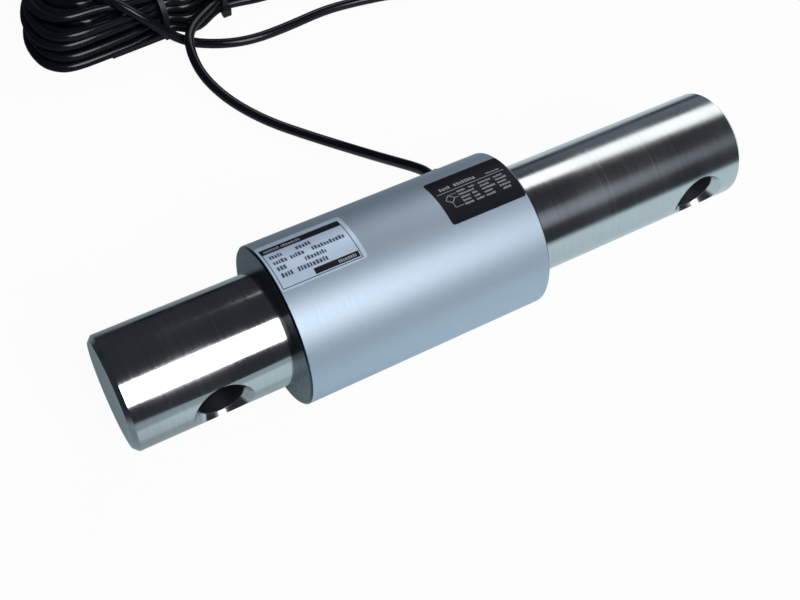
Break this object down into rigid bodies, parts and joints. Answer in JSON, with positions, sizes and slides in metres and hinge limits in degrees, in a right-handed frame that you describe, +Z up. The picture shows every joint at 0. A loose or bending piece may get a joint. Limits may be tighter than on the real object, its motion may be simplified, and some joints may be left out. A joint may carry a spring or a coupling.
{
  "type": "shear beam load cell",
  "caption": "Round-bar shear beam load cell: cross-drilled steel bar, turned sleeve over the gauge section, compression gland and signal cable wound in a tied hank.",
  "frame": {"origin": "on the surface that the sleeve lies on, below the bar's axis and halfway along the bar", "axes": "+X along the bar towards its longer bare stub, +Y along the cross bores towards the cable, +Z up"},
  "size_m": [0.301, 0.3117, 0.0711],
  "materials": {
    "bar_steel": "ground and polished",
    "sleeve_aluminium": "satin anodised, fine turning marks",
    "seal_rubber": "matt",
    "dark_screw": "black oxide",
    "cover_steel": "rolled sheet",
    "gauge_film": "amber film",
    "terminal_copper": "tinned copper",
    "pad_film": "insulating film",
    "board_green": "solder mask",
    "resistor_black": "chip body",
    "small_screw": "zinc plated",
    "fine_wire": "enamelled wire",
    "red_core": "core insulation",
    "black_core": "core insulation",
    "green_core": "core insulation",
    "white_core": "core insulation",
    "gland_brass": "nickel plated",
    "silver_label": "satin foil",
    "black_label": "printed film",
    "cable_jacket": "glossy cable jacket",
    "tie_plastic": "moulded strap",
    "shrink_tube": "shrunk tube",
    "bare_wire": "tinned copper"
  },
  "bodies": {
    "root": {"beam": "bar_steel", "sleeve": "sleeve_aluminium", "left_seal": "seal_rubber", "right_seal": "seal_rubber", "set_screw_back": "dark_screw", "set_screw_low": "dark_screw", "pocket_cover_top": "cover_steel", "pocket_cover_bottom": "cover_steel", "gauge_top": "gauge_film", "gauge_bottom": "gauge_film", "terminal_top": "terminal_copper", "terminal_bottom": "terminal_copper", "board_pad": "pad_film", "bridge_board": "board_green", "trim_resistors": "resistor_black", "board_screws": "small_screw", "gauge_wires_top": "fine_wire", "gauge_wires_bottom": "fine_wire", "core_red": "red_core", "core_black": "black_core", "core_green": "green_core", "core_white": "white_core", "gland_gasket": "seal_rubber", "gland_body": "gland_brass", "gland_seal": "seal_rubber", "gland_nut": "gland_brass", "rating_label": "silver_label", "wiring_label": "black_label", "cable_run": "cable_jacket", "cable_hank": "cable_jacket", "hank_tie_left": "tie_plastic", "hank_tie_right": "tie_plastic", "cable_tail": "cable_jacket", "tail_shrink": "shrink_tube", "lead_red": "red_core", "lead_black": "black_core", "lead_green": "green_core", "lead_white": "white_core", "drain_wire": "bare_wire", "lead_tips": "bare_wire"}
  },
  "joints": []
}
